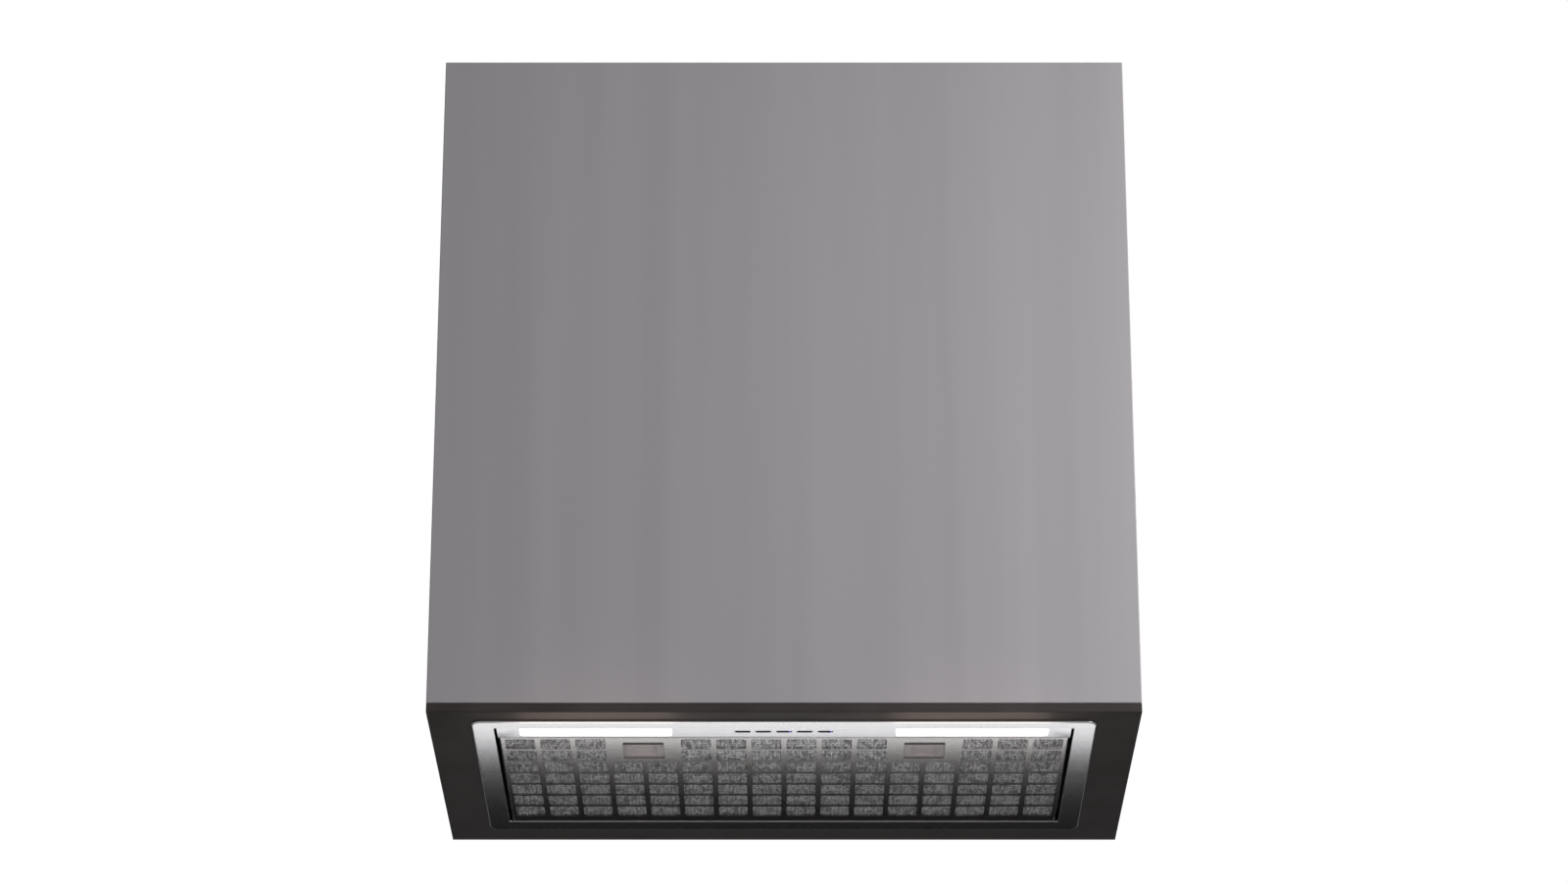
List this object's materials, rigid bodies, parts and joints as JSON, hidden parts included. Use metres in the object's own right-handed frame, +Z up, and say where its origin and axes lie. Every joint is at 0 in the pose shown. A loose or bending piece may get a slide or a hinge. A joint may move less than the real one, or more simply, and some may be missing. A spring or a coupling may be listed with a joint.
{
  "type": "range hood insert",
  "caption": "Under-cabinet extractor hood insert with lit control strip, perforated grease filter, blower and duct collar, fitted in a plain box surround.",
  "frame": {"origin": "under the middle of the surround, level with the underside of the insert's flange", "axes": "+Z up, +X to the right seen from the front, -Y towards the front"},
  "size_m": [0.6, 0.35, 0.6122],
  "materials": {
    "lacquer": "satin mid-grey lacquer on board",
    "anthracite": "matt anthracite laminate",
    "stainless": "brushed stainless steel",
    "strip_steel": "brushed stainless steel",
    "zinc": "galvanised sheet",
    "aluminium": "expanded aluminium mesh",
    "lens": "frosted, lit from behind",
    "carrier": "moulded",
    "board": "circuit board",
    "button": "moulded",
    "latch": "moulded warm grey",
    "scroll": "moulded",
    "impeller": "moulded",
    "motor": "plain",
    "damper": "moulded",
    "enclosure": "moulded light grey",
    "cable": "cable sheath"
  },
  "bodies": {
    "frame": {"surround_front": "lacquer", "surround_left": "lacquer", "surround_right": "lacquer", "top_rail_front": "lacquer", "top_rail_back": "lacquer", "wall_rail": "lacquer", "base_plate": "anthracite", "bezel_frame": "stainless", "lower_housing": "zinc", "upper_housing": "zinc", "control_strip": "strip_steel", "light_carrier": "carrier", "led_lens_left": "lens", "led_lens_right": "lens", "led_board_left": "board", "led_board_right": "board", "switch_board": "board", "scroll_left": "scroll", "scroll_right": "scroll", "motor": "motor", "motor_bracket": "zinc", "outlet_collar": "damper", "damper_pin": "motor", "control_box": "enclosure", "control_box_lid": "enclosure", "control_board": "board", "terminal_block": "enclosure", "cable_gland": "carrier", "led_driver": "enclosure", "motor_capacitor": "motor", "harness_light": "cable", "harness_panel": "cable", "harness_motor": "cable", "clamp_left_front": "zinc", "clamp_screw_left_front": "zinc", "clamp_left_back": "zinc", "clamp_screw_left_back": "zinc", "clamp_right_front": "zinc", "clamp_screw_right_front": "zinc", "clamp_right_back": "zinc", "clamp_screw_right_back": "zinc"},
    "filter": {"filter_panel": "stainless", "filter_mesh": "aluminium", "filter_back_grid": "aluminium", "latch_guide_left": "carrier", "latch_guide_right": "carrier"},
    "latch_slider_left": {"latch_left": "latch"},
    "latch_slider_right": {"latch_right": "latch"},
    "push_button_1": {"button_1": "button"},
    "push_button_2": {"button_2": "button"},
    "push_button_3": {"button_3": "button"},
    "push_button_4": {"button_4": "button"},
    "push_button_5": {"button_5": "button"},
    "rotor": {"impeller": "impeller", "motor_shaft": "motor"},
    "flap_front": {"damper_front": "damper"},
    "flap_back": {"damper_back": "damper"}
  },
  "joints": [
    {"name": "filter_drop", "type": "hinge", "parent": "frame", "child": "filter", "pos_m": [0, 0.113, 0.002], "axis": [1, 0, 0], "range_deg": [0, 75]},
    {"name": "latch_left_slide", "type": "slide", "parent": "filter", "child": "latch_slider_left", "axis": [0, 1, 0], "range_m": [0, 0.0035], "stiffness_N_per_m": 600},
    {"name": "latch_right_slide", "type": "slide", "parent": "filter", "child": "latch_slider_right", "axis": [0, 1, 0], "range_m": [0, 0.0035], "stiffness_N_per_m": 600},
    {"name": "button_1_press", "type": "slide", "parent": "frame", "child": "push_button_1", "axis": [0, 0, 1], "range_m": [0, 0.00125], "stiffness_N_per_m": 400},
    {"name": "button_2_press", "type": "slide", "parent": "frame", "child": "push_button_2", "axis": [0, 0, 1], "range_m": [0, 0.00125], "stiffness_N_per_m": 400},
    {"name": "button_3_press", "type": "slide", "parent": "frame", "child": "push_button_3", "axis": [0, 0, 1], "range_m": [0, 0.00125], "stiffness_N_per_m": 400},
    {"name": "button_4_press", "type": "slide", "parent": "frame", "child": "push_button_4", "axis": [0, 0, 1], "range_m": [0, 0.00125], "stiffness_N_per_m": 400},
    {"name": "button_5_press", "type": "slide", "parent": "frame", "child": "push_button_5", "axis": [0, 0, 1], "range_m": [0, 0.00125], "stiffness_N_per_m": 400},
    {"name": "impeller_spin", "type": "hinge", "parent": "frame", "child": "rotor", "pos_m": [0, -0.0275, 0.18], "axis": [1, 0, 0], "continuous": true},
    {"name": "damper_front_open", "type": "hinge", "parent": "frame", "child": "flap_front", "pos_m": [0, 0.0145, 0.31775], "axis": [-1, 0, 0], "range_deg": [0, 80]},
    {"name": "damper_back_open", "type": "hinge", "parent": "frame", "child": "flap_back", "pos_m": [0, 0.0145, 0.31775], "axis": [1, 0, 0], "range_deg": [0, 80]}
  ]
}
